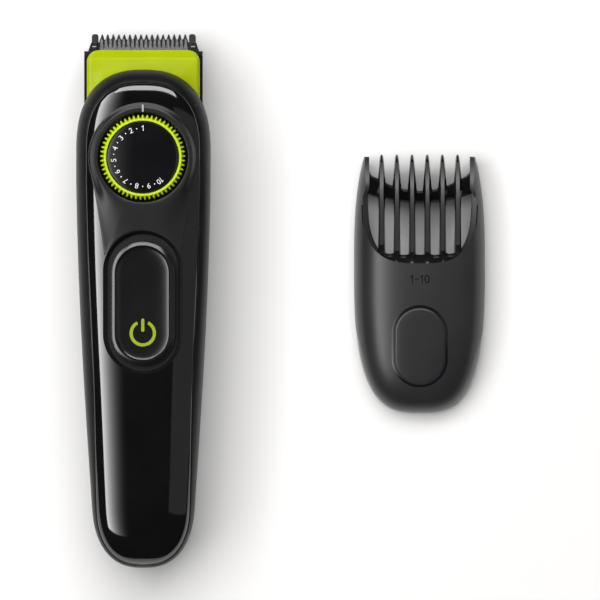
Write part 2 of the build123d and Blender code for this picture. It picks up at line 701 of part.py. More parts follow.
def blade_spring():
    """Leaf with two legs that press the moving blade onto the fixed one."""
    legs = []
    for side in (1, -1):
        outline = [(72.9, 8.85), (73.4, 8.85), (74.6, 10.6), (76.0, 11.2), (75.4, 11.2), (74.2, 10.9)]
        legs.append(side_profile(outline, side * 8.0 - 1.6, side * 8.0 + 1.6))
    return legs


def blade_screws():
    screws = []
    for x in (11.0, -11.0):
        head = disc(1.8, x, 69.0, 5.9, FIXED_Z0) - box(x - 1.3, x + 1.3, 68.75, 69.25, 5.5, 6.25)
        screws.append(head + disc(0.9, x, 69.0, FIXED_Z0, 12.6))
    return screws


# ---------------------------------------------------------------- comb attachment
def comb_half(y, inset=0.0):
    low = round_off((COMB_MID_Y - y) / (COMB_LOW_LEN - inset), 3.0)
    top = round_off((y - COMB_MID_Y) / COMB_TOP_LEN, 2.5)
    return (COMB_HALF - inset) * low * top


def comb_block(inset):
    """Outer form of the comb, drawn inwards by inset."""
    plan = outline_face(lambda y: comb_half(y, inset), COMB_MID_Y - COMB_LOW_LEN + inset, COMB_MID_Y + COMB_TOP_LEN)
    block = Pos(COMB_X, 0, 0) * extrude(plan, amount=COMB_HEIGHT - inset)
    return fillet(block.edges().group_by(Axis.Z)[-1], COMB_ROUND - inset)


def smile_cut():
    """Everything above the curved edge of the comb's tongue."""
    arc = [(-17.6, 36.0), (-16.2, 24.0), (-12.5, 15.6), (-6.5, 12.2), (0.0, 11.3)]
    arc = arc + [(-x, y) for x, y in reversed(arc[:-1])]
    edges = Spline(*arc) + Polyline(arc[-1], (17.6, 70.0), (-17.6, 70.0), arc[0])
    return Pos(COMB_X, 0, -1) * extrude(make_face(edges), amount=40)


def comb_arch(x):
    """Height of the comb's back at a distance x from its centre, as a share of the full height."""
    return (1.0 - (abs(x) / COMB_HALF) ** 2.8) ** (1.0 / 2.8)


def comb_fin(x):
    """One tooth of the comb: joined to the tongue, arched over the blade, pointed at the tip."""
    share = comb_arch(x)
    start = 9.8 + 0.035 * x * x
    outline = [
        (start, 14.9 * share), (30.0, 14.4 * share), (38.5, 11.8 * share), (COMB_TIP_Y, 6.4),
        (45.0, 4.6), (37.0, 1.2), (30.6, 1.2), (27.0, 7.0 * share), (start, 12.2 * share),
    ]
    return Pos(COMB_X, 0, 0) * side_profile(outline, x - FIN_T / 2, x + FIN_T / 2)


def comb_crossbar():
    low = ThreePointArc((-18.4, 32.6), (0.0, 30.6), (18.4, 32.6))
    high = ThreePointArc((18.4, 38.6), (0.0, 34.4), (-18.4, 38.6))
    face = make_face(low + Line((18.4, 32.6), (18.4, 38.6)) + high + Line((-18.4, 38.6), (-18.4, 32.6)))
    return Pos(COMB_X, 0, 1.2) * extrude(face, amount=2.6)


def comb_attachment():
    lower = box(COMB_X - 30, COMB_X + 30, -60, 38.6, 0, 40)
    shell = (comb_block(0.0) & lower) - comb_block(COMB_WALL) - smile_cut()
    pad_ring = Pos(COMB_X, -14.2, 5) * extrude(
        SlotOverall(25.6, 17.4, rotation=90) - SlotOverall(23.6, 15.4, rotation=90), amount=30)
    shell = shell - (pad_ring - comb_block(0.5))
    for i in range(6):
        shell = shell + comb_fin((i - 2.5) * FIN_PITCH)
    for side in (1, -1):
        cheek = [(30.0, 0.0), (30.0, 9.5), (38.0, 8.2), (44.8, 5.2), (44.8, 2.6), (38.0, 0.0)]
        x0 = side * 17.1
        shell = shell + Pos(COMB_X, 0, 0) * side_profile(cheek, x0 - 1.5, x0 + 1.3)
    return shell + comb_crossbar()


NODES = {
    "front_shell": front_shell, "back_shell": back_shell, "front_panel": front_panel,
    "back_grip_pad": back_grip_pad, "dial_bezel": dial_bezel,
    "housing_seal": housing_seal, "housing_screws": housing_screws,
    "dial_ring": dial_ring, "dial_cap": dial_cap, "dial_cam": dial_cam, "dial_screw": dial_screw,
    "dial_detent_spring": dial_detent_spring,
    "comb_carrier": comb_carrier, "follower_pin": follower_pin,
    "power_slider": power_slider, "power_symbol": power_symbol,
    "slider_actuator": slider_actuator, "switch_knob": switch_knob, "switch_body": switch_body,
    "motor_can": motor_can, "motor_end_cap": motor_end_cap, "motor_magnets": motor_magnets,
    "motor_bush": motor_bush, "motor_armature": motor_armature, "motor_shaft": motor_shaft,
    "eccentric": eccentric, "motor_bracket": motor_bracket, "neck_plate": neck_plate,
    "shaft_seal": shaft_seal, "inner_frame": inner_frame,
    "battery_cell": battery_cell, "battery_contact_front": battery_contact_front,
    "battery_contact_rear": battery_contact_rear, "circuit_board": circuit_board,
    "board_components": board_components, "inlet_housing": inlet_housing, "inlet_pins": inlet_pins,
    "head_cover": head_cover, "head_base": head_base, "fixed_blade": fixed_blade,
    "moving_blade": moving_blade, "drive_fork": drive_fork, "blade_spring": blade_spring,
    "blade_screws": blade_screws, "comb_attachment": comb_attachment,
}

os.makedirs("parts", exist_ok=True)
for name, make in NODES.items():
    shape = make()
    if isinstance(shape, list):
        shape = Compound(children=shape)
    export_step(shape, os.path.join("parts", name + ".step"))
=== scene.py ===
import bmesh
import bpy
import math
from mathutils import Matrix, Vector


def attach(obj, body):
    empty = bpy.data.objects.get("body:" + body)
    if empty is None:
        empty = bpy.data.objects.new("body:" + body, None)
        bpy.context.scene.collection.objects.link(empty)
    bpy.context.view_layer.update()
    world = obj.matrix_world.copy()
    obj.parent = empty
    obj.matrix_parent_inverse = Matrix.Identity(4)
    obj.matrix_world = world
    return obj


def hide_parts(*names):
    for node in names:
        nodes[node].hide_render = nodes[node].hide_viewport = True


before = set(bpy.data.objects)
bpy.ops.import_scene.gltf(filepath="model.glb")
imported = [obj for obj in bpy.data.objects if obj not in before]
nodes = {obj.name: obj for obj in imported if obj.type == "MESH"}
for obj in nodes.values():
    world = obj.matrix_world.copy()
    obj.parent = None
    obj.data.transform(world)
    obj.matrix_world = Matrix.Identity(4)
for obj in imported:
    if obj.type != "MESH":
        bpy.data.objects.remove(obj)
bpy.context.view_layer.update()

# Lengths in this script are millimetres, in the frame of the CAD model; MM turns them into metres.
MM = 0.001

# Housing outline, as in the CAD model
LOW_END, LOW_ROUND = -83.1, -64.0
TOP_ROUND, ARCH_TOP = 46.0, 71.8
GRIP_HALF, SHOULDER_HALF, SHOULDER_Y = 16.0, 20.9, 37.0
PART_Z, FRONT_Z, FRONT_DROP = 15.0, 31.0, 3.4
BACK_Z, LOW_LIFT, NECK_LIFT = 0.6, 3.0, 4.0
FRONT_POWER, BACK_POWER, END_POWER = 3.6, 3.2, 2.5
NECK_Y, HOOD_Y, HOOD_Z = 62.0, 60.2, 20.5
PANEL_INSET, PANEL_ARCH = 1.0, 21.4
PANEL_END, PANEL_TOP = LOW_END + PANEL_INSET, TOP_ROUND + PANEL_ARCH
PANEL_GROOVE, PANEL_POCKET = 0.32, 3.3
SHELL_T = 1.6
JOINT_GAP = 0.08

# Dial, slider and their surrounds
DIAL_Y, DIAL_TEETH = 44.4, 57
BEZEL_IN, BEZEL_OUT = 13.9, 17.0
CAP_TOP, DOME_R = 32.15, 88.0
FIGURE_R, FIGURE_H, FIGURE_PITCH = 9.05, 1.7, 24.0
DOT_R, INK = 0.2, 0.05
BEZEL_Z = 31.52
RECESS_W, RECESS_L, RECESS_Y = 24.7, 44.2, -0.6
FLOOR_W, FLOOR_L, FLOOR_Z = 21.6, 42.4, 29.05
SLIDER_W, SLIDER_L, SLIDER_Y = 20.0, 38.7, -0.9
DISH_Z = 30.88
SYMBOL_Y, SYMBOL_R, SYMBOL_STROKE = -10.1, 4.1, 0.98

# Head cover
COVER_HALF, COVER_CORNER = 17.6, 3.7
COVER_REAR, COVER_FRONT = 60.6, 77.95
COVER_EDGE_R, COVER_WALL = 1.5, 1.3

# Comb attachment
COMB_X, COMB_MID_Y, COMB_HALF = 86.0, 12.0, 20.45
COMB_LOW_LEN, COMB_TOP_LEN, COMB_H, COMB_POWER = 47.1, 50.7, 14.9, 2.8
SMILE_TOP, SMILE_DEEP, SMILE_HALF, SMILE_POWER = 33.4, 21.8, 17.7, 3.1
FIN_PITCH, FINS_HALF, COMB_WALL = 4.74, 14.2, 1.7
LABEL_Y, LABEL_H, PAD_Y = 6.7, 2.7, -14.2


# ---------------------------------------------------------------- formulas
def smooth(t):
    t = max(0.0, min(1.0, t))
    return t * t * (3.0 - 2.0 * t)


def mix(a, b, t):
    return a + (b - a) * t


def round_off(t, power):
    """Superellipse factor: 1 at t = 0, falling to 0 at t = 1."""
    t = max(0.0, min(1.0, t))
    return (1.0 - t ** power) ** (1.0 / power)


def taper(y):
    """Half width of the housing without its rounded ends."""
    u = min(1.0, (y - LOW_ROUND) / (SHOULDER_Y - LOW_ROUND))
    return GRIP_HALF + (SHOULDER_HALF - GRIP_HALF) * (0.3 * u + 0.7 * math.sin(u * math.pi / 2.0))


def low_t(y):
    """0 where the lower end starts to round, 1 at its tip."""
    return (LOW_ROUND - y) / (LOW_ROUND - LOW_END)


def top_t(y):
    """0 where the upper end starts to round, 1 at its tip."""
    return (y - TOP_ROUND) / (ARCH_TOP - TOP_ROUND)


def half_width(y):
    return taper(y) * round_off(low_t(y), END_POWER) * round_off(top_t(y), END_POWER)


def front_height(y):
    flat = FRONT_Z - FRONT_DROP * smooth((-18.0 - y) / 62.0)
    return (flat - PART_Z) * round_off(low_t(y), END_POWER) * round_off(top_t(y), 5.0)


def back_depth(y):
    flat = BACK_Z + LOW_LIFT * smooth((-40.0 - y) / 45.0) + NECK_LIFT * smooth((y - 34.0) / 34.0)
    return (PART_Z - flat) * round_off(low_t(y), END_POWER)


def front_surface(x, y):
    """Height of the housing's front at a plan position."""
    half = max(half_width(y), 0.01)
    return PART_Z + front_height(y) * round_off(abs(x) / half, FRONT_POWER)


def panel_half(y):
    """Half width of the gloss panel."""
    margin = 1.3 + 1.9 * smooth((y + 78.0) / 60.0)
    low = round_off((LOW_ROUND - y) / (LOW_ROUND - PANEL_END), END_POWER)
    top = round_off((y - TOP_ROUND) / PANEL_ARCH, END_POWER)
    return (taper(y) - margin) * low * top


def panel_depth(x, y):
    """Distance from the panel's edge, positive inside it, good near the edge."""
    x = abs(x)
    if y > TOP_ROUND:
        wide, tall, up = panel_half(TOP_ROUND), PANEL_TOP - TOP_ROUND, y - TOP_ROUND
        n = ((x / wide) ** END_POWER + (up / tall) ** END_POWER) ** (1.0 / END_POWER)
        grow = math.hypot(x ** (END_POWER - 1.0) / wide ** END_POWER,
                          up ** (END_POWER - 1.0) / tall ** END_POWER)
        return (1.0 - n) / (n ** (1.0 - END_POWER) * grow)
    if y < PANEL_END:
        return -math.hypot(x, PANEL_END - y)
    slope = (panel_half(y + 0.05) - panel_half(max(y - 0.05, PANEL_END))) / 0.1
    return (panel_half(y) - x) / math.hypot(1.0, slope)


def pill_distance(x, y, width, length, mid_y):
    """Distance to a pill-shaped outline whose straight sides run along Y; negative inside."""
    reach = (length - width) / 2.0
    dy = max(abs(y - mid_y) - reach, 0.0)
    return math.hypot(x, dy) - width / 2.0


def ray_reach(inside, x0, y0, angle, far):
    """Distance from (x0, y0) along angle to where inside(x, y) stops being true."""
    near = 0.0
    for _ in range(34):
        middle = (near + far) / 2.0
        if inside(x0 + middle * math.cos(angle), y0 + middle * math.sin(angle)):
            near = middle
        else:
            far = middle
    return near


# ---------------------------------------------------------------- mesh helpers
def add_mesh(name, points, faces, material, body, node=None, sharp_deg=38.0, bevel=0.0):
    mesh = bpy.data.meshes.new(name)
    mesh.from_pydata([(x * MM, y * MM, z * MM) for x, y, z in points], [], faces)
    mesh.validate()
    piece = bpy.data.objects.new(name, mesh)
    bpy.context.scene.collection.objects.link(piece)
    bpy.context.view_layer.objects.active = piece
    mesh.materials.append(material)
    mesh.polygons.foreach_set("use_smooth", [True] * len(mesh.polygons))
    mesh.set_sharp_from_angle(angle=math.radians(sharp_deg))
    fix_normals(mesh)
    if bevel:
        add_bevel(piece, bevel)
    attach(piece, body)
    if node:
        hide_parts(node)
    return piece


def fix_normals(mesh):
    work = bmesh.new()
    work.from_mesh(mesh)
    bmesh.ops.recalc_face_normals(work, faces=work.faces)
    work.to_mesh(mesh)
    work.free()


def add_bevel(piece, width, segments=3, angle_deg=32.0):
    bevel = piece.modifiers.new("edge_round", "BEVEL")
    bevel.width = width * MM
    bevel.segments = segments
    bevel.limit_method = "ANGLE"
    bevel.angle_limit = math.radians(angle_deg)
    bevel.harden_normals = True


def skin(rings, loop=True, wrap=False, cap_first=False, cap_last=False):
    """Points and faces of a surface over rings that all have the same number of points."""
    count = len(rings[0])
    points = [p for ring in rings for p in ring]
    faces = []
    rows = len(rings) if wrap else len(rings) - 1
    columns = count if loop else count - 1
    for i in range(rows):
        a, b = i * count, ((i + 1) % len(rings)) * count
        for j in range(columns):
            k = (j + 1) % count
            faces.append((a + j, a + k, b + k, b + j))
    if cap_first:
        faces.append(tuple(range(count - 1, -1, -1)))
    if cap_last:
        last = (len(rings) - 1) * count
        faces.append(tuple(last + j for j in range(count)))
    return points, faces


def pill_ring(width, length, mid_y, z, steps=160, x_mid=0.0):
    """Points round a pill, evenly spaced by angle at each end and along each side."""
    r, reach = width / 2.0, (length - width) / 2.0
    points = []
    arc = steps * 3 // 10
    straight = steps // 2 - arc
    for side in (1, -1):
        for i in range(arc):
            angle = math.pi * i / (arc - 1) + (0.0 if side > 0 else math.pi)
            points.append((x_mid + r * math.cos(angle), mid_y + side * reach + r * math.sin(angle), z))
        for i in range(1, straight + 1):
            run = mix(reach, -reach, i / (straight + 1.0))
            points.append((x_mid - side * r, mid_y + side * run, z))
    return points


# ---------------------------------------------------------------- materials
def new_material(name, color, roughness, metallic=0.0, coat=0.0, coat_rough=0.05, specular=0.5):
    material = bpy.data.materials.new(name)
    material.use_nodes = True
    shader = material.node_tree.nodes["Principled BSDF"]
    shader.inputs["Base Color"].default_value = (*color, 1.0)
    shader.inputs["Roughness"].default_value = roughness
    shader.inputs["Metallic"].default_value = metallic
    shader.inputs["Coat Weight"].default_value = coat
    shader.inputs["Coat Roughness"].default_value = coat_rough
    shader.inputs["Specular IOR Level"].default_value = specular
    return material


def add_noise(material, scale, stretch=(1, 1, 1), detail=3.0):
    """A noise texture in object space, stretched along the axes."""
    tree = material.node_tree
    coords = tree.nodes.new("ShaderNodeTexCoord")
    mapping = tree.nodes.new("ShaderNodeMapping")
    mapping.inputs["Scale"].default_value = stretch
    noise = tree.nodes.new("ShaderNodeTexNoise")
    noise.inputs["Scale"].default_value = scale
    noise.inputs["Detail"].default_value = detail
    tree.links.new(coords.outputs["Object"], mapping.inputs["Vector"])
    tree.links.new(mapping.outputs["Vector"], noise.inputs["Vector"])
    return noise


def vary_roughness(material, noise, low, high):
    tree = material.node_tree
    ramp = tree.nodes.new("ShaderNodeMapRange")
    ramp.inputs["To Min"].default_value = low
    ramp.inputs["To Max"].default_value = high
    tree.links.new(noise.outputs["Fac"], ramp.inputs["Value"])
    tree.links.new(ramp.outputs["Result"], tree.nodes["Principled BSDF"].inputs["Roughness"])


def vary_color(material, noise, dark, light):
    tree = material.node_tree
    ramp = tree.nodes.new("ShaderNodeValToRGB")
    ramp.color_ramp.elements[0].color = (*dark, 1.0)
    ramp.color_ramp.elements[1].color = (*light, 1.0)
    ramp.color_ramp.elements[0].position = 0.35
    ramp.color_ramp.elements[1].position = 0.68
    tree.links.new(noise.outputs["Fac"], ramp.inputs["Fac"])
    tree.links.new(ramp.outputs["Color"], tree.nodes["Principled BSDF"].inputs["Base Color"])


def add_bump(material, noise, strength, distance=0.00005):
    tree = material.node_tree
    bump = tree.nodes.new("ShaderNodeBump")
    bump.inputs["Strength"].default_value = strength
    bump.inputs["Distance"].default_value = distance
    tree.links.new(noise.outputs["Fac"], bump.inputs["Height"])
    tree.links.new(bump.outputs["Normal"], tree.nodes["Principled BSDF"].inputs["Normal"])


def plastic(name, color, roughness, spread, grain, bump, light=None, coat=0.0, specular=0.5):
    """Moulded plastic: slightly uneven gloss, faint colour variation and a fine moulded grain."""
    material = new_material(name, color, roughness, coat=coat, specular=specular)
    broad = add_noise(material, 60.0)
    vary_roughness(material, broad, roughness - spread, roughness + spread)
    lighter = light or tuple(min(1.0, c * 1.12 + 0.0008) for c in color)
    vary_color(material, broad, color, lighter)
    add_bump(material, add_noise(material, grain, detail=2.0), bump)
    return material


def metal(name, color, roughness, stretch):
    """Ground metal: fine streaks along one axis in its gloss, colour and relief."""
    material = new_material(name, color, roughness, metallic=1.0)
    streaks = add_noise(material, 900.0, stretch)
    vary_roughness(material, streaks, roughness - 0.08, roughness + 0.12)
    vary_color(material, streaks, tuple(c * 0.82 for c in color), color)
    add_bump(material, streaks, 0.12)
    return material


SATIN = plastic("housing_satin", (0.0026, 0.0026, 0.0029), 0.38, 0.03, 5200.0, 0.05, specular=0.1)
GLOSS = plastic("panel_gloss", (0.0012, 0.0012, 0.0014), 0.07, 0.012, 900.0, 0.004, coat=0.55)
BEZEL = plastic("bezel_matt", (0.0042, 0.0042, 0.0046), 0.36, 0.03, 5200.0, 0.08, specular=0.3)
CAP = plastic("dial_gloss", (0.0022, 0.0022, 0.0026), 0.09, 0.012, 900.0, 0.004, coat=0.5)
SLIDER = plastic("slider_plastic", (0.0032, 0.0032, 0.0036), 0.19, 0.03, 4200.0, 0.04, specular=0.5)
LIME = plastic("lime_plastic", (0.27, 0.36, 0.0), 0.36, 0.04, 3000.0, 0.03, light=(0.31, 0.40, 0.0),
               specular=0.25)
SYMBOL_LIME = plastic("symbol_lime", (0.16, 0.21, 0.0), 0.36, 0.04, 3000.0, 0.03, light=(0.18, 0.23, 0.0),
                      specular=0.25)
COVER = plastic("lime_cover", (0.20, 0.25, 0.0), 0.2, 0.03, 2600.0, 0.03, light=(0.225, 0.275, 0.0),
                specular=0.14)
COMB = plastic("comb_satin", (0.011, 0.011, 0.0118), 0.34, 0.04, 5200.0, 0.07, specular=0.38)
COMB_GLOSS = plastic("comb_gloss", (0.003, 0.003, 0.0034), 0.13, 0.02, 2000.0, 0.02)
BLACK = plastic("frame_plastic", (0.005, 0.005, 0.0055), 0.34, 0.05, 4200.0, 0.08, specular=0.4)
RUBBER = plastic("grip_rubber", (0.009, 0.009, 0.0095), 0.62, 0.05, 6500.0, 0.25)
WHITE_INK = plastic("number_ink", (0.42, 0.42, 0.42), 0.5, 0.04, 8000.0, 0.03, specular=0.2)
# Grey ink for the dial's index mark; the same grey is also the painted highlight on the blade holders.
INK_AND_HIGHLIGHT_GREY = plastic("index_ink_and_painted_highlight", (0.22, 0.22, 0.22), 0.5, 0.04, 8000.0, 0.03, specular=0.2)
BLACK_INK = plastic("comb_ink", (0.0008, 0.0008, 0.0008), 0.6, 0.04, 8000.0, 0.03, specular=0.08)
WHITE = plastic("fork_white", (0.72, 0.72, 0.70), 0.42, 0.05, 3000.0, 0.05)
GREEN_BOARD = plastic("board_green", (0.01, 0.11, 0.04), 0.3, 0.05, 2500.0, 0.1)
SLEEVE = plastic("cell_sleeve", (0.02, 0.1, 0.05), 0.25, 0.05, 1500.0, 0.05)
DARK_METAL = metal("magnet_dark", (0.12, 0.12, 0.125), 0.5, (1, 1, 8))
STEEL = metal("blade_steel", (0.72, 0.72, 0.73), 0.25, (14, 1, 1))
# Darker copy of the blade steel: painted shade, standing for the shadow and dark reflections on the fixed
# blade.
SHADED_STEEL = metal("blade_steel_painted_shade", (0.09, 0.09, 0.095), 0.32, (14, 1, 1))
SCREW = metal("screw_steel", (0.52, 0.52, 0.53), 0.3, (1, 1, 8))
BRASS = metal("bush_brass", (0.75, 0.56, 0.24), 0.3, (1, 8, 1))

CAD_LOOKS = {
    "back_grip_pad": (RUBBER, 0.25), "housing_seal": (RUBBER, 0), "housing_screws": (SCREW, 0.12),
    "dial_detent_spring": (SCREW, 0), "switch_body": (BLACK, 0), "motor_can": (SCREW, 0),
    "motor_end_cap": (BLACK, 0), "motor_magnets": (DARK_METAL, 0), "motor_bush": (BRASS, 0),
    "motor_bracket": (BLACK, 0), "neck_plate": (BLACK, 0.2), "shaft_seal": (RUBBER, 0),
    "inner_frame": (BLACK, 0), "battery_cell": (SLEEVE, 0), "battery_contact_front": (SCREW, 0),
    "battery_contact_rear": (SCREW, 0), "circuit_board": (GREEN_BOARD, 0), "board_components": (BLACK, 0),
    "inlet_housing": (BLACK, 0.25), "inlet_pins": (BRASS, 0.15), "dial_cam": (BLACK, 0),
    "dial_screw": (SCREW, 0),
    "comb_carrier": (SATIN, 0.35), "follower_pin": (SCREW, 0), "slider_actuator": (BLACK, 0),
    "switch_knob": (BLACK, 0), "motor_armature": (DARK_METAL, 0), "motor_shaft": (SCREW, 0),
    # The fixed blade takes the darker steel copy as painted shade; the moving blade takes the plain steel.
    "eccentric": (BLACK, 0), "head_base": (BLACK, 0.25), "fixed_blade": (SHADED_STEEL, 0.06),
    "blade_spring": (SCREW, 0), "blade_screws": (SCREW, 0.1), "moving_blade": (STEEL, 0.05),
    "drive_fork": (WHITE, 0.15),
}


def dress_cad_nodes():
    """Gives every CAD node that stays visible its material and small edge roundings."""
    for name, (material, bevel) in CAD_LOOKS.items():
        piece = nodes[name]
        piece.data.materials.clear()
        piece.data.materials.append(material)
        if bevel:
            add_bevel(piece, bevel, segments=2, angle_deg=40.0)


# ---------------------------------------------------------------- housing
def end_stations(tip, start, steps):
    """Stations that crowd towards a rounded end at tip."""
    return [start + (tip - start) * math.sin(math.pi / 2.0 * i / steps) ** 0.9 for i in range(1, steps + 1)]


def housing_stations(last):
    low = end_stations(LOW_END + 0.02, LOW_ROUND, 44)[::-1]
    middle = [LOW_ROUND + (TOP_ROUND - LOW_ROUND) * i / 60.0 for i in range(61)]
    top = end_stations(ARCH_TOP - 0.02, TOP_ROUND, 64)
    return [y for y in low + middle + top if y <= last]


def section_point(y, angle, inset):
    """Point of the housing's section at y; angle 0 is +X, 90 degrees the front, 270 the back."""
    c, s = math.cos(angle), math.sin(angle)
    half = max(half_width(y) - inset, 0.02)
    tall = max((front_height(y) if s >= 0 else back_depth(y)) - inset, 0.02)
    power = FRONT_POWER if s >= 0 else BACK_POWER
    r = ((abs(c) / half) ** power + (abs(s) / tall) ** power) ** (-1.0 / power)
    x, z = r * c, PART_Z + r * s
    if s > 0:
        inside = panel_depth(x, y)
        z -= PANEL_POCKET * smooth((inside - 0.5) / 0.9) + PANEL_GROOVE * smooth((inside + 0.34) / 0.34)
    return x, y, z


def angle_at(y, z, inset):
    """Angle of the section's point at height z on the +X side, above the parting plane."""
    low, high = 0.0, math.pi / 2.0
    for _ in range(40):
        middle = (low + high) / 2.0
        if section_point(y, middle, inset)[2] < z:
            low = middle
        else:
            high = middle
    return (low + high) / 2.0


def shell_ring(y, start, end, start_in, end_in, steps):
    """Closed loop: the outer arc one way, the inner arc back."""
    outer = [section_point(y, mix(start, end, i / steps), 0.0) for i in range(steps + 1)]
    inner = [section_point(y, mix(start_in, end_in, i / steps), SHELL_T) for i in range(steps + 1)]
    return outer + inner[::-1]


def close_shell_end(rings, index, steps):
    """Faces between the outer and the inner arc of one end ring."""
    count = len(rings[0])
    base = index * count
    faces = []
    for j in range(steps):
        faces.append((base + j, base + j + 1, base + count - 2 - j, base + count - 1 - j))
    return faces


def build_front_shell():
    """Front shell down to the parting plane, with a hood that opens over the head."""
    steps = 300
    rings = []
    for y in housing_stations(ARCH_TOP):
        floors = [PART_Z + JOINT_GAP] if y < HOOD_Y else [HOOD_Z]
        if rings and y >= HOOD_Y > rings[-1][0][1]:
            floors = [PART_Z + JOINT_GAP, HOOD_Z]
        for floor in floors:
            row = HOOD_Y if len(floors) == 2 else y
            row = row + (0.02 if floor == HOOD_Z and len(floors) == 2 else 0.0)
            a = angle_at(row, floor, 0.0)
            b = angle_at(row, floor, SHELL_T)
            rings.append(shell_ring(row, a, math.pi - a, b, math.pi - b, steps))
    points, faces = skin(rings)
    faces += close_shell_end(rings, 0, steps) + close_shell_end(rings, len(rings) - 1, steps)
    add_mesh("front_shell_body", points, faces, SATIN, "housing", "front_shell")


def build_back_shell():
    """Back shell up to the parting plane, open at the neck."""
    steps = 96
    gap = math.asin(JOINT_GAP / 18.0)
    rings = []
    for y in housing_stations(NECK_Y) + [NECK_Y]:
        start, end = math.pi + gap, 2.0 * math.pi - gap
        rings.append(shell_ring(y, start, end, start, end, steps))
    points, faces = skin(rings)
    faces += close_shell_end(rings, 0, steps) + close_shell_end(rings, len(rings) - 1, steps)
    add_mesh("back_shell_body", points, faces, SATIN, "housing", "back_shell")


def panel_height(x, y):
    """Top of the gloss panel; it dips under the dial, where the bezel covers the step."""
    z = front_surface(x, y) + 0.05
    r = math.hypot(x, y - DIAL_Y)
    return min(z, mix(28.2, z, smooth((r - 14.6) / 1.2)))


def in_recess_floor(x, y):
    return pill_distance(x, y, FLOOR_W, FLOOR_L, RECESS_Y) < 0


def in_recess(x, y):
    return pill_distance(x, y, RECESS_W, RECESS_L, RECESS_Y) < 0


def in_panel(x, y):
    return PANEL_END < y < PANEL_TOP and abs(x) < panel_half(y)


def build_front_panel():
    """Gloss panel with the slider's recess, on rings that follow the recess and then the panel's edge."""
    rays = 640
    columns = []
    for i in range(rays):
        angle = 2.0 * math.pi * i / rays
        cx, cy = math.cos(angle), math.sin(angle)
        floor = ray_reach(in_recess_floor, 0, RECESS_Y, angle, 60)
        brim = ray_reach(in_recess, 0, RECESS_Y, angle, 60)
        rim = ray_reach(in_panel, 0, RECESS_Y, angle, 120)
        top = []
        for share in (0.3, 0.7, 0.985, 1.0):
            top.append((floor * share, FLOOR_Z))
        edge_z = panel_height(cx * brim, RECESS_Y + cy * brim)
        for step in range(1, 11):
            t = step / 10.0
            r = mix(floor, brim, t)
            top.append((r, mix(FLOOR_Z, edge_z, t ** 1.25)))
        for step in range(1, 58):
            t = step / 57.0
            r = mix(brim + 0.12, rim - 0.45, t)
            top.append((r, panel_height(cx * r, RECESS_Y + cy * r)))
        edge = panel_height(cx * rim, RECESS_Y + cy * rim)
        for pull, drop in ((0.22, 0.05), (0.06, 0.16), (0.0, 0.34), (0.0, 1.3)):
            top.append((rim - pull, edge - drop))
        columns.append([(cx * r, RECESS_Y + cy * r, z) for r, z in top])
    rings = [[column[k] for column in columns] for k in range(len(columns[0]))]
    under = [[(x * 0.985, RECESS_Y + (y - RECESS_Y) * 0.995, min(z, panel_height(x, y)) - 1.0)
              for x, y, z in ring] for ring in rings[:-2:6]]
    points, faces = skin(rings + under[::-1], cap_first=True, cap_last=True)
    panel = add_mesh("front_panel_gloss", points, faces, GLOSS, "housing", "front_panel", sharp_deg=50.0)
    panel.data.materials.append(BEZEL)
    for face in panel.data.polygons:
        x, y, z = face.center / MM
        if pill_distance(x, y, RECESS_W + 0.1, RECESS_L + 0.1, RECESS_Y) < 0.0 and z > FLOOR_Z - 0.3:
            face.material_index = 1


def bezel_inside(x, y):
    """Plan of the dial surround: a disc that flows down to the slider's recess."""
    if pill_distance(x, y, RECESS_W + 0.3, RECESS_L + 0.3, RECESS_Y) < 0:
        return False
    if math.hypot(x, y - DIAL_Y) < BEZEL_OUT:
        return True
    t = (DIAL_Y - 4.0 - y) / (DIAL_Y - 4.0 - 14.0)
    return 0.0 <= t <= 1.0 and abs(x) < mix(16.6, 11.9, t ** 0.8)


def build_bezel():
    """Matt surround that falls from the dial's rim to the panel, with the index mark."""
    rays = 420
    columns = []
    for i in range(rays):
        angle = 2.0 * math.pi * i / rays
        cx, cy = math.cos(angle), math.sin(angle)
        out = ray_reach(bezel_inside, 0, DIAL_Y, angle, 45)
        profile = [(BEZEL_IN, 28.5), (BEZEL_IN, 31.15), (BEZEL_IN + 0.08, 31.4), (BEZEL_IN + 0.3, BEZEL_Z)]
        target = panel_height(cx * out, DIAL_Y + cy * out) + 0.16
        for step in range(1, 19):
            t = step / 18.0
            r = mix(BEZEL_IN + 0.3, out - 0.3, t)
            fall = max(0.0, (r - 15.2) / max(out - 0.3 - 15.2, 0.1))
            profile.append((r, mix(BEZEL_Z, target, smooth(fall) * 0.75 + 0.25 * fall)))
        edge = panel_height(cx * out, DIAL_Y + cy * out)
        profile += [(out - 0.06, edge + 0.08), (out, edge - 0.06), (out, edge - 0.8), (BEZEL_IN + 1.0, 28.0)]
        columns.append([(cx * r, DIAL_Y + cy * r, z) for r, z in profile])
    points, faces = skin(columns, loop=True, wrap=True)
    add_mesh("dial_surround", points, faces, BEZEL, "housing", "dial_bezel", sharp_deg=45.0)
    mark = pill_ring(0.55, 2.3, DIAL_Y + 15.25, 31.5, 24)
    ring_high = [(x, y, 31.56) for x, y, z in mark]
    points, faces = skin([mark, ring_high], cap_first=True, cap_last=True)
    piece = add_mesh("dial_index_mark", points, faces, INK_AND_HIGHLIGHT_GREY, "housing")


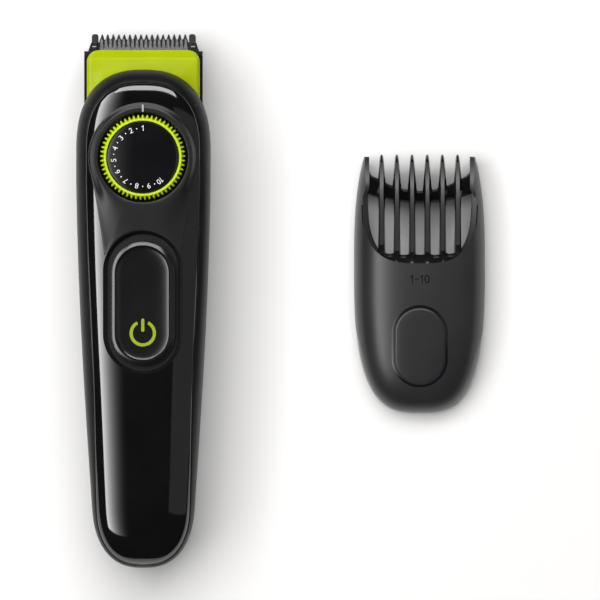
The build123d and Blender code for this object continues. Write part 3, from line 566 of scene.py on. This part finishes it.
# ---------------------------------------------------------------- dial
def build_dial_ring():
    """Toothed ring; its crests slope down and outwards, the gaps between them are cut lower."""
    samples = 10
    columns = []
    for i in range(DIAL_TEETH * samples):
        angle = 2.0 * math.pi * i / samples / DIAL_TEETH + math.pi / 2.0
        phase = (i % samples) / samples
        away = min(phase, 1.0 - phase) * 2.0
        tooth = max(0.0, min(1.0, 1.28 - 1.42 * away))
        out = 12.3 + 0.9 * tooth
        profile = [
            (11.28, 28.9), (11.28, 32.05), (11.36, 32.2), (11.5, 32.25), (12.0, 32.22),
            (12.1, mix(31.5, 32.15, tooth)),
            (mix(12.2, 12.7, tooth), mix(30.4, 31.95, tooth)), (out - 0.08, mix(30.0, 31.55, tooth)),
            (out, mix(29.8, 31.35, tooth)), (out, 28.9),
        ]
        columns.append([(r * math.cos(angle), DIAL_Y + r * math.sin(angle), z) for r, z in profile])
    points, faces = skin(columns, loop=True, wrap=True)
    add_mesh("dial_toothed_ring", points, faces, LIME, "dial", "dial_ring", sharp_deg=40.0)


def cap_top(r):
    """Height of the number disc's shallow dome."""
    return CAP_TOP - r * r / (2.0 * DOME_R)


def cap_surface(x, y):
    return cap_top(math.hypot(x, y - DIAL_Y))


def build_dial_cap():
    """Number disc with its figures and the dots between them."""
    profile = [(11.2, 28.8), (11.2, 31.3), (11.1, 31.42), (10.9, cap_top(10.9))]
    profile += [(r, cap_top(r)) for r in range(10, 0, -1)]
    steps = 192
    turns = [2 * math.pi * i / steps for i in range(steps)]
    rings = [[(r * math.cos(a), DIAL_Y + r * math.sin(a), z) for a in turns] for r, z in profile]
    points, faces = skin(rings, cap_first=True, cap_last=True)
    add_mesh("dial_number_disc", points, faces, CAP, "dial", "dial_cap", sharp_deg=60.0)
    for number in range(1, 11):
        angle = math.radians(90.0 + FIGURE_PITCH * (number - 1))
        add_figures("dial_number_%d" % number, str(number), FIGURE_H, FIGURE_R * math.cos(angle),
                    DIAL_Y + FIGURE_R * math.sin(angle), cap_surface, angle - math.pi / 2.0,
                    WHITE_INK, "dial")
        if number < 10:
            middle = angle + math.radians(FIGURE_PITCH / 2.0)
            add_dot("dial_dot_%d" % number, FIGURE_R * math.cos(middle), DIAL_Y + FIGURE_R * math.sin(middle))


def add_dot(name, x, y):
    """Small round mark between two figures."""
    disc = cap_top(FIGURE_R)
    turns = [a * math.pi / 8 for a in range(16)]
    low = [(x + DOT_R * math.cos(a), y + DOT_R * math.sin(a), disc - INK) for a in turns]
    high = [(px, py, disc + INK) for px, py, _ in low]
    points, faces = skin([low, high], cap_first=True, cap_last=True)
    add_mesh(name, points, faces, WHITE_INK, "dial")


ONE_OUTLINE = [(0.02, -0.5), (0.14, -0.5), (0.14, 0.5), (0.05, 0.5), (-0.05, 0.36), (-0.2, 0.27),
               (-0.2, 0.17), (0.02, 0.24)]
DASH_OUTLINE = [(-0.26, -0.03), (0.26, -0.03), (0.26, 0.06), (-0.26, 0.06)]
FIGURE_STEP = {"1": 0.52, "\u2013": 0.62}


def figure_mesh(char, height):
    """Flat outline of one figure, centred, as vertices and faces."""
    outline = {"1": ONE_OUTLINE, "\u2013": DASH_OUTLINE}.get(char)
    if outline:
        return [(x * height, y * height) for x, y in outline], [tuple(range(len(outline)))]
    curve = bpy.data.curves.new("figure", "FONT")
    curve.body = char
    curve.size = height * 1.38
    curve.align_x = "CENTER"
    curve.align_y = "CENTER"
    curve.resolution_u = 6
    maker = bpy.data.objects.new("figure_maker", curve)
    bpy.context.scene.collection.objects.link(maker)
    bpy.context.view_layer.update()
    mesh = bpy.data.meshes.new_from_object(maker.evaluated_get(bpy.context.evaluated_depsgraph_get()))
    flat = [(v.co.x, v.co.y) for v in mesh.vertices]
    faces = [tuple(p.vertices) for p in mesh.polygons]
    bpy.data.objects.remove(maker)
    bpy.data.meshes.remove(mesh)
    middle = (min(y for x, y in flat) + max(y for x, y in flat)) / 2.0
    return [(x, y - middle) for x, y in flat], faces


def add_figures(name, words, height, x, y, surface, turn, material, body, proud=0.03):
    """Thin printed figures draped on a surface, one closed mesh per name."""
    steps = [FIGURE_STEP.get(char, 0.74) * height for char in words]
    along = -sum(steps) / 2.0
    points, faces = [], []
    c, s = math.cos(turn), math.sin(turn)
    for char, step in zip(words, steps):
        flat, cells = figure_mesh(char, height)
        base = len(points)
        for lift in (-0.08, proud):
            for px, py in flat:
                px += along + step / 2.0
                fx, fy = x + c * px - s * py, y + s * px + c * py
                points.append((fx, fy, surface(fx, fy) + lift))
        count = len(flat)
        sides = {(a, b) for cell in cells for a, b in zip(cell, cell[1:] + cell[:1])}
        for cell in cells:
            faces.append(tuple(base + count + k for k in cell))
            faces.append(tuple(base + k for k in reversed(cell)))
        rims = sorted(pair for pair in sides if (pair[1], pair[0]) not in sides)
        faces += [(base + a, base + b, base + count + b, base + count + a) for a, b in rims]
        along += step
    piece = add_mesh(name, points, faces, material, body)


# ---------------------------------------------------------------- slider
def build_slider():
    """Slide switch with a sloping rim round a shallow dish; the profile is (inset, height)."""
    profile = [(0.5, 29.65), (0.1, 29.75), (0.0, 29.95), (0.0, 31.12), (0.04, 31.24), (0.14, 31.32),
               (1.22, 31.70), (1.36, 31.74), (1.48, 31.72), (1.62, 31.58), (1.85, 31.36), (2.3, 31.2),
               (3.2, 31.04), (4.6, 30.94),
               (6.4, DISH_Z), (8.0, DISH_Z), (9.4, DISH_Z)]
    rings = []
    for inset, z in profile:
        rings.append(pill_ring(SLIDER_W - 2 * inset, SLIDER_L - 2 * inset, SLIDER_Y, z))
    points, faces = skin(rings, cap_first=True, cap_last=True)
    add_mesh("power_slider_cap", points, faces, SLIDER, "power_switch", "power_slider", sharp_deg=35.0)


def build_symbol():
    """Power symbol in the dish: an open ring and an upright bar."""
    half_gap, steps = math.radians(27.0), 64
    start, end = math.pi / 2.0 + half_gap, math.pi / 2.0 + 2.0 * math.pi - half_gap
    rings = []
    for i in range(steps + 1):
        angle = mix(start, end, i / steps)
        row = []
        for r, z in ((SYMBOL_R - SYMBOL_STROKE, DISH_Z - 0.1), (SYMBOL_R - SYMBOL_STROKE, DISH_Z + INK),
                     (SYMBOL_R, DISH_Z + INK), (SYMBOL_R, DISH_Z - 0.1)):
            row.append((r * math.cos(angle), SYMBOL_Y + r * math.sin(angle), z))
        rings.append(row)
    points, faces = skin(rings, cap_first=True, cap_last=True)
    add_mesh("power_symbol_ring", points, faces, SYMBOL_LIME, "power_switch", "power_symbol")
    low = pill_ring(SYMBOL_STROKE, 4.1, SYMBOL_Y + 2.5, DISH_Z - 0.1, 32)
    high = [(x, y, DISH_Z + INK) for x, y, _ in low]
    points, faces = skin([low, high], cap_first=True, cap_last=True)
    bar = add_mesh("power_symbol_bar", points, faces, SYMBOL_LIME, "power_switch")


# ---------------------------------------------------------------- cutting head
def cover_height(x, y):
    """Front of the head cover: level under the arch, then a broad face, a crease and a steep top strip."""
    knots = [(60.0, 19.95), (70.0, 19.95), (75.3, 18.9), (75.6, 18.75), (77.6, 17.3), (77.8, 17.0),
             (78.0, 16.3)]
    z = knots[-1][1]
    for (y0, z0), (y1, z1) in zip(knots, knots[1:]):
        if y0 <= y <= y1:
            z = mix(z0, z1, (y - y0) / (y1 - y0))
            break
    wing = smooth((abs(x) - 11.5) / 5.5) * smooth((74.6 - y) / 5.0)
    return z - 0.9 * wing


def build_head_cover():
    """Hood over the head, rounded at its front corners and open below."""
    rows = [COVER_REAR + (75.2 - COVER_REAR) * i / 30.0 for i in range(31)]
    rows += [75.3, 75.4, 75.55, 75.7, 75.9, 76.2, 76.5, 76.8, 77.1, 77.4, 77.6, 77.75, 77.86, COVER_FRONT]
    steps, rings = 72, []
    for y in rows:
        into = max(0.0, y - (COVER_FRONT - COVER_CORNER))
        half = COVER_HALF - COVER_CORNER + math.sqrt(max(COVER_CORNER ** 2 - into ** 2, 0.02))
        outer = []
        for i in range(steps + 1):
            u = -1.0 + 2.0 * i / steps
            x = half * math.sin(u * math.pi / 2.0)
            edge = half - abs(x)
            fall = COVER_EDGE_R - math.sqrt(max(0.0, COVER_EDGE_R ** 2 - max(0.0, COVER_EDGE_R - edge) ** 2))
            outer.append((x, y, cover_height(x, y) - fall))
        skirt = mix(16.95, 13.4, smooth((y - 76.0) / 1.6))
        right, left = (outer[-1][0], y, skirt), (outer[0][0], y, skirt)
        inner = [(x * 0.93, y, max(z - COVER_WALL, skirt)) for x, y, z in outer]
        rings.append(outer + [right] + inner[::-1] + [left])
    points, faces = skin(rings, cap_first=True, cap_last=True)
    add_mesh("head_cover_shell", points, faces, COVER, "cutting_head", "head_cover", sharp_deg=28.0)


def build_blade_holders():
    """Black corner blocks beside the teeth, each with a small grey bar on top that is a painted highlight."""
    outline = [(14.55, 77.2), (14.55, 80.35), (14.7, 80.5), (16.1, 80.5), (16.4, 80.3), (16.85, 78.9),
               (17.3, 77.75),
               (18.1, 77.0), (18.3, 76.5), (18.3, 74.5), (14.55, 74.5)]
    # The bar is a painted highlight: a thin grey slab on each black block stands for the glint of light on
    # its top.
    bar = [(14.75, 78.95), (16.0, 78.95), (16.0, 79.3), (14.75, 79.3)]
    for side, name in ((-1, "left"), (1, "right")):
        for label, shape, low, high, material in (("blade_holder_", outline, 8.0, 10.75, BLACK),
                                                  ("blade_holder_painted_highlight_", bar, 10.6, 10.85, INK_AND_HIGHLIGHT_GREY)):
            rings = [[(side * x, y, z) for x, y in shape] for z in (low, high)]
            points, faces = skin(rings, cap_first=True, cap_last=True)
            piece = add_mesh(label + name, points, faces, material, "cutting_head", bevel=0.08)


# ---------------------------------------------------------------- comb attachment
def comb_half(y):
    low = round_off((COMB_MID_Y - y) / COMB_LOW_LEN, 3.0)
    top = round_off((y - COMB_MID_Y) / COMB_TOP_LEN, 2.5)
    return COMB_HALF * low * top


def comb_height(y):
    return COMB_H * round_off((COMB_MID_Y - y) / COMB_LOW_LEN, 3.0)


def comb_point(u, y, inset=0.0):
    """Point of the comb's back at y; u runs from -1 at one side to 1 at the other."""
    angle = u * math.pi / 2.0
    c, s = math.sin(angle), math.cos(angle)
    half, tall = max(comb_half(y) - inset, 0.05), max(comb_height(y) - inset, 0.05)
    r = ((abs(c) / half) ** COMB_POWER + (abs(s) / tall) ** COMB_POWER) ** (-1.0 / COMB_POWER)
    return COMB_X + r * c, y, max(r * s, 0.0)


def comb_surface(x, y):
    """Height of the comb's back at x from its centre line."""
    return comb_height(y) * round_off(abs(x) / comb_half(y), COMB_POWER)


def comb_back(x, y):
    """Height of the comb's back at a plan position."""
    return comb_surface(x - COMB_X, y)


def smile_y(x):
    """Curved upper edge of the comb's tongue."""
    return SMILE_TOP - SMILE_DEEP * round_off(abs(x) / SMILE_HALF, SMILE_POWER)


def comb_top_y(u):
    """Y at which the line u along the back meets the tongue's upper edge."""
    y = 20.0
    for _ in range(12):
        y = 0.5 * y + 0.5 * smile_y(comb_point(u, y)[0] - COMB_X)
    return y


def comb_rim_half(y):
    """Half width of the satin part of the comb's back; the rim outside it is glossy at the rounded end."""
    rim = 1.7 * smooth((-8.0 - y) / 12.0)
    return (COMB_HALF - rim) * round_off((COMB_MID_Y - y) / (COMB_LOW_LEN - rim), 3.0)


def build_comb_shell():
    """Arched tongue with its two cheeks, closed at the lower end."""
    steps, rows = 150, 110
    low = COMB_MID_Y - COMB_LOW_LEN + 0.02
    tops = [comb_top_y(-1.0 + 2.0 * i / steps) for i in range(steps + 1)]
    rings = []
    for inset in (0.0, COMB_WALL):
        layer = []
        for k in range(rows + 1):
            share = 1.0 - math.cos(math.pi / 2.0 * k / rows)
            row = []
            for i in range(steps + 1):
                u = -1.0 + 2.0 * i / steps
                y = mix(low + inset, tops[i], share)
                row.append(comb_point(u, y, inset))
            layer.append(row)
        rings += layer if inset == 0.0 else layer[::-1]
    points, faces = skin(rings, loop=False, wrap=True)
    count, total = steps + 1, len(rings)
    for side in (0, steps):
        for k in range(rows):
            a, b = k * count + side, (k + 1) * count + side
            c, d = (total - 2 - k) * count + side, (total - 1 - k) * count + side
            faces.append((a, b, c, d))
    tongue = add_mesh("comb_tongue", points, faces, COMB, "comb", "comb_attachment", sharp_deg=50.0)
    tongue.data.materials.append(COMB_GLOSS)
    for face in tongue.data.polygons:
        x, y, _ = face.center / MM
        if y < -8.0 and abs(x - COMB_X) > comb_rim_half(y):
            face.material_index = 1


def gap_share(x):
    """0 in the middle of the gap between two teeth, 1 at a tooth."""
    if abs(x) < FINS_HALF:
        return abs((x / FIN_PITCH + 0.5) % 1.0 - 0.5) * 2.0
    return min(1.0, (abs(x) - FINS_HALF) / 1.6)


def smile_inset(x, y, inset):
    """The point at a distance inside the tongue's curved upper edge."""
    nx = -(abs(x) / SMILE_HALF) ** (SMILE_POWER - 1.0) / SMILE_HALF
    ny = ((SMILE_TOP - y) / SMILE_DEEP) ** (SMILE_POWER - 1.0) / SMILE_DEEP
    size = math.hypot(nx, ny)
    return x + math.copysign(inset * nx / size, x), y + inset * ny / size


def build_comb_band():
    """Gloss slope between the tongue's edge and the roots of the teeth, with a rounded bay below each gap."""
    rings = []
    steps = 320
    for i in range(steps + 1):
        angle = math.radians(mix(176.5, 3.5, i / steps))
        x = math.copysign(SMILE_HALF * abs(math.cos(angle)) ** (2.0 / SMILE_POWER), math.cos(angle))
        y = SMILE_TOP - SMILE_DEEP * math.sin(angle) ** (2.0 / SMILE_POWER)
        z = comb_surface(x, y)
        bay = (1.0 - round_off(gap_share(x), 2.2)) * (1.0 - smooth((abs(x) - FINS_HALF) / 2.0))
        deep = mix(2.7, 1.1, (x / SMILE_HALF) ** 2) + 1.3 * bay
        ring = []
        section = ((-0.5, 0.5), (0.06, 0.12), (deep * 0.5, 0.9), (deep, 2.2), (deep - 0.1, 3.4), (-0.3, 2.6))
        for inset, drop in section:
            px, py = smile_inset(x, y, inset)
            ring.append((COMB_X + px, py, max(z - drop, 0.3 + 0.05 * (3.4 - drop))))
        rings.append(ring)
    points, faces = skin(rings, cap_first=True, cap_last=True)
    add_mesh("comb_gloss_edge", points, faces, COMB_GLOSS, "comb", sharp_deg=50.0)


def tooth_rings(x, stations):
    """Rings of an upright tooth with a narrower face: (y, top z, bottom z, half thickness, half face)."""
    rings = []
    for y, top, low, thick, face in stations:
        drop = min(1.1, (top - low) / 3.0)
        rings.append([(COMB_X + x - face, y, top), (COMB_X + x + face, y, top),
                      (COMB_X + x + thick, y, top - drop), (COMB_X + x + thick * 0.9, y, low + drop / 2.0),
                      (COMB_X + x + thick * 0.5, y, low), (COMB_X + x - thick * 0.5, y, low),
                      (COMB_X + x - thick * 0.9, y, low + drop / 2.0), (COMB_X + x - thick, y, top - drop)])
    return rings


def build_comb_teeth():
    """Six upright teeth with satin faces, and the two end teeth that run on from the cheeks."""
    for i in range(6):
        x = (i - 2.5) * FIN_PITCH
        share = round_off(abs(x) / COMB_HALF, COMB_POWER)
        start = smile_y(x) + 0.5
        stations = [
            (start, 13.6 * share, 10.8 * share, 1.15, 0.6),
            (start + 3.0, 13.9 * share, 9.8 * share, 1.1, 0.6),
            (24.0, 14.0 * share, 7.4, 1.0, 0.62), (28.0, 13.9 * share, 5.0, 0.95, 0.62),
            (31.0, 13.6 * share, 1.7, 1.05, 0.6), (34.0, 13.0 * share, 1.4, 1.5, 0.5),
            (36.0, 12.4 * share, 1.6, 1.3, 0.55), (38.5, 11.4 * share, 2.0, 1.05, 0.6),
            (41.5, 9.7 * share, 3.0, 0.85, 0.55), (43.2, 8.6 * share, 3.8, 0.72, 0.5),
            (44.0, 7.7 * share + 0.3, 4.2, 0.66, 0.3), (44.9, 7.0, 4.7, 0.52, 0.2),
            (45.4, 6.4, 5.1, 0.32, 0.1),
            (45.58, 6.0, 5.5, 0.12, 0.05),
        ]
        points, faces = skin(tooth_rings(x, stations), cap_first=True, cap_last=True)
        piece = add_mesh("comb_tooth_%d" % (i + 1), points, faces, COMB_GLOSS, "comb", sharp_deg=35.0)
        piece.data.materials.append(COMB)
        shade_faces(piece, lambda c: 17.5 < c.y / MM < 43.4, 0.75)
    for side, name in ((-1, "left"), (1, "right")):
        rings = []
        for k in range(33):
            y = 25.0 + 19.88 * k / 32.0
            inner_x = mix(17.25, 15.7, smooth((y - 31.0) / 4.5))
            top_x = inner_x + mix(0.75, 1.15, smooth((y - 31.0) / 4.0))
            slope = 1.0 - 0.12 * smooth((y - 36.0) / 9.0)
            top = COMB_H * round_off(top_x / comb_half(y), COMB_POWER) * slope
            low = 0.2 + 2.4 * smooth((y - 34.0) / 11.0)
            outer = []
            for n in range(9):
                z = mix(low, top, n / 8.0)
                outer.append((comb_half(y) * round_off(z / COMB_H, COMB_POWER) + 0.03, z))
            inner = [(inner_x, top - 0.15), (inner_x, low + 0.1)]
            rings.append([(COMB_X + side * px, y, z) for px, z in outer + inner])
        points, faces = skin(rings, cap_first=True, cap_last=True)
        piece = add_mesh("comb_end_tooth_" + name, points, faces, COMB, "comb", sharp_deg=40.0)


def shade_faces(piece, inside, least_up):
    """Gives the upward faces whose centre passes inside() the piece's second material."""
    for face in piece.data.polygons:
        if face.normal.z > least_up and inside(face.center):
            face.material_index = 1


def build_comb_crossbar():
    """Bar across the teeth, with a rounded bay between each two of them."""
    rings = []
    for i in range(321):
        x = -16.9 + 33.8 * i / 320.0
        low = 30.5 + 2.6 * (x / 15.9) ** 2
        high = min(34.3 + 4.2 * (x / 13.9) ** 2 + 1.5 * (1.0 - round_off(gap_share(x), 2.2)), 41.0)
        rings.append([(COMB_X + x, low, 1.6), (COMB_X + x, low + 0.1, 3.5), (COMB_X + x, low + 0.7, 4.2),
                      (COMB_X + x, high - 0.7, 4.1), (COMB_X + x, high, 3.4), (COMB_X + x, high - 0.1, 1.3),
                      (COMB_X + x, low + 0.3, 1.25)])
    points, faces = skin(rings, cap_first=True, cap_last=True)
    add_mesh("comb_crossbar", points, faces, COMB_GLOSS, "comb", sharp_deg=40.0)


def draped_ring(width, length, mid_y, lift):
    """Pill-shaped loop laid on the comb's back."""
    ring = pill_ring(width, length, mid_y, 0.0, 160)
    return [(COMB_X + x, y, comb_surface(x, y) + lift) for x, y, _ in ring]


def build_thumb_pad():
    """Oval thumb pad inside a gloss groove on the comb's back."""
    profile = [(25.6, 17.4, -0.3), (25.6, 17.4, 0.03), (25.2, 17.0, 0.06), (24.0, 15.8, 0.05),
               (23.8, 15.6, -0.3)]
    rings = [draped_ring(w, l, PAD_Y, lift) for l, w, lift in profile]
    points, faces = skin(rings, wrap=True)
    groove = add_mesh("comb_pad_groove", points, faces, COMB_GLOSS, "comb", sharp_deg=50.0)
    profile = [(23.7, 15.5, -0.3), (23.6, 15.4, 0.12), (23.3, 15.1, 0.24), (22.4, 14.2, 0.28),
               (18.0, 9.8, 0.2),
               (12.0, 3.8, 0.14), (9.2, 1.0, 0.12)]
    rings = [draped_ring(w, l, PAD_Y, lift) for l, w, lift in profile]
    points, faces = skin(rings, cap_first=True, cap_last=True)
    add_mesh("comb_thumb_pad", points, faces, COMB, "comb", sharp_deg=50.0)


# ---------------------------------------------------------------- stage, light and camera
def floor_material():
    material = new_material("floor_pale", (0.5, 0.496, 0.492), 0.8, specular=0.1)
    vary_roughness(material, add_noise(material, 30.0), 0.75, 0.85)
    return material


def build_floor():
    mesh = bpy.data.meshes.new("floor")
    size = 4.0
    corners = [(-size, -size, 0), (size, -size, 0), (size, size, 0), (-size, size, 0)]
    mesh.from_pydata(corners, [], [(0, 1, 2, 3)])
    floor = bpy.data.objects.new("floor", mesh)
    bpy.context.scene.collection.objects.link(floor)
    mesh.materials.append(floor_material())


# Metres from here on: where the lights point, the studio's grey, and the camera
LIGHT_AIM = (0.05, 0.0, 0.02)
WORLD_LEVEL = 0.04
LENS, SENSOR = 700.0, 36.0
FIELD, FOCUS_HEIGHT = 0.186, 0.028
VIEW_X, VIEW_Y = 0.0487, 0.0002


def area_light(name, place, aim, width, height, radiance, fade=False):
    """Soft box of a given radiance; with fade, it falls to nothing across its width."""
    data = bpy.data.lights.new(name, "AREA")
    data.shape = "RECTANGLE"
    data.size, data.size_y = width, height
    data.energy = radiance * math.pi * width * height
    if fade:
        data.use_nodes = True
        tree = data.node_tree
        place_on = tree.nodes.new("ShaderNodeNewGeometry")
        split = tree.nodes.new("ShaderNodeSeparateXYZ")
        ramp = tree.nodes.new("ShaderNodeMapRange")
        ramp.inputs["To Min"].default_value = 1.0
        ramp.inputs["To Max"].default_value = 0.0
        ramp.interpolation_type = "SMOOTHSTEP"
        tree.links.new(place_on.outputs["Parametric"], split.inputs["Vector"])
        tree.links.new(split.outputs["X"], ramp.inputs["Value"])
        tree.links.new(ramp.outputs["Result"], tree.nodes["Emission"].inputs["Strength"])
    lamp = bpy.data.objects.new(name, data)
    lamp.location = place
    lamp.rotation_euler = (Vector(aim) - Vector(place)).to_track_quat("-Z", "Y").to_euler()
    bpy.context.scene.collection.objects.link(lamp)
    return lamp


def build_lights():
    area_light("left_panel", (-0.98, 0.1, 1.6), (-0.98, 0.1, 0.0), 1.73, 2.4, 10.0, fade=True)
    area_light("right_panel", (1.4, 0.0, 1.2), LIGHT_AIM, 0.9, 2.4, 0.25)
    area_light("top_strip", (0.15, 1.35, 1.55), LIGHT_AIM, 1.8, 0.9, 7.5)
    fill = area_light("overhead_fill", (0.1, 0.35, 2.4), (0.05, 0.0, 0.0), 2.2, 2.2, 2.9)
    area_light("upper_left_panel", (-0.98, 1.25, 1.6), (-0.98, 1.25, 0.0), 1.5, 0.7, 9.0, fade=True)
    fill.visible_glossy = False
    fill.visible_camera = False
    world = bpy.data.worlds.new("studio")
    world.use_nodes = True
    world.node_tree.nodes["Background"].inputs["Color"].default_value = (1.0, 1.0, 1.0, 1.0)
    world.node_tree.nodes["Background"].inputs["Strength"].default_value = WORLD_LEVEL
    bpy.context.scene.world = world
    bpy.context.scene.view_settings.view_transform = "Standard"
    bpy.context.scene.view_settings.look = "None"


def build_camera():
    """Straight above the flat-laid trimmer, with the comb to the right of the middle."""
    data = bpy.data.cameras.new("camera")
    data.lens = LENS
    data.sensor_width = SENSOR
    distance = FIELD * data.lens / data.sensor_width
    camera = bpy.data.objects.new("camera", data)
    camera.location = (VIEW_X, VIEW_Y, FOCUS_HEIGHT + distance)
    camera.rotation_euler = (0.0, 0.0, 0.0)
    data.clip_start, data.clip_end = 0.01, 20.0
    bpy.context.scene.collection.objects.link(camera)
    bpy.context.scene.camera = camera


dress_cad_nodes()
build_front_shell()
build_back_shell()
build_front_panel()
build_bezel()
build_dial_ring()
build_dial_cap()
build_slider()
build_symbol()
build_head_cover()
build_blade_holders()
build_comb_shell()
build_comb_band()
build_comb_teeth()
build_comb_crossbar()
build_thumb_pad()
add_figures("comb_range_label", "1\u201310", LABEL_H, COMB_X, LABEL_Y, comb_back, 0.0, BLACK_INK, "comb")
build_floor()
build_lights()
build_camera()
